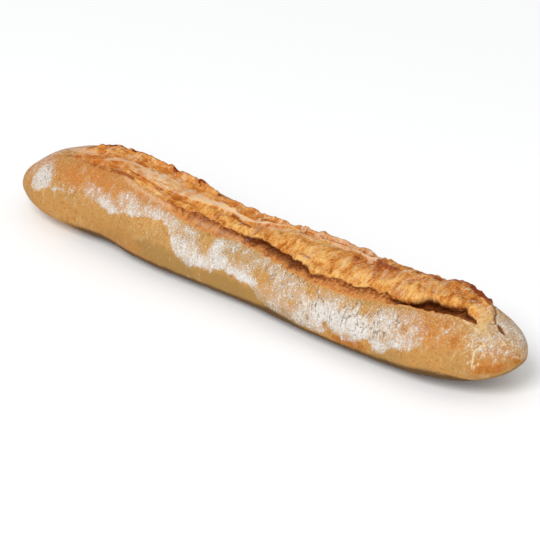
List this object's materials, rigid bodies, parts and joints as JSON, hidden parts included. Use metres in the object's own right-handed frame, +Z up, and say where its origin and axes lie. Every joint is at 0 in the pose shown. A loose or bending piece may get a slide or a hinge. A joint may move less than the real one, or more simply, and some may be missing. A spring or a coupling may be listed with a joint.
{
  "type": "baguette",
  "caption": "Long rustic loaf with blunt rounded ends, overlapping lengthwise slashes, a jagged ear and flour-dusted golden crust.",
  "frame": {"origin": "centre of the bounding box, on the flat underside", "axes": "+X along the loaf, +Z up, -Y on the floured side that the slashes open towards"},
  "size_m": [0.45, 0.0868, 0.0599],
  "materials": {
    "crust": "matte baked crust, golden to dark brown, dusted with flour"
  },
  "bodies": {
    "root": {"loaf": "crust"}
  },
  "joints": []
}
